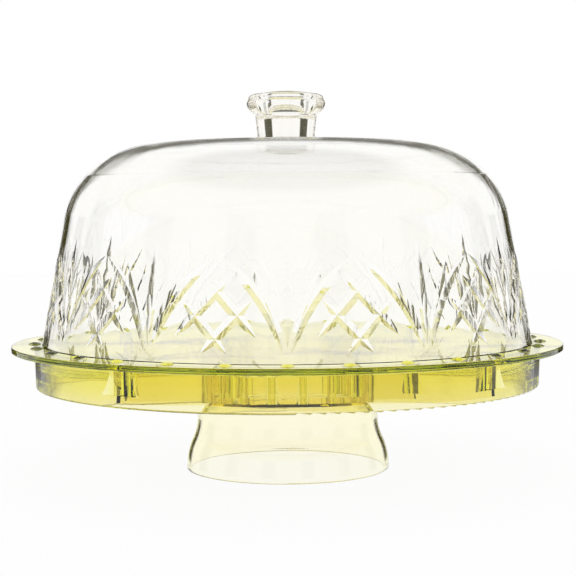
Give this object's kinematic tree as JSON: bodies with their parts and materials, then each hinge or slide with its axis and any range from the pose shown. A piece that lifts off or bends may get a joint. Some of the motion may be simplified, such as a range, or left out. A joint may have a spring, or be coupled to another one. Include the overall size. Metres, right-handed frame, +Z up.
{
  "type": "cake stand with dome",
  "caption": "Round beaded cake plate on a flared bowl pedestal, turning over as a divided tray, under a clear dome with cut fans and diamonds and a round knob.",
  "frame": {"origin": "on the table, at the centre of the pedestal's foot rim", "axes": "+Z up along the stand's axis; -Y is the front of the picture, where one bead and the foot of one fan lie; +X to the right"},
  "size_m": [0.3174, 0.3174, 0.2182],
  "materials": {
    "tray": "clear green-yellow tint, polished",
    "pedestal": "clear green-yellow tint, polished",
    "dome": "clear, polished, with moulded cuts",
    "knob": "clear, polished"
  },
  "bodies": {
    "root": {"tray": "tray", "pedestal": "pedestal", "dome": "dome", "knob": "knob"}
  },
  "joints": []
}
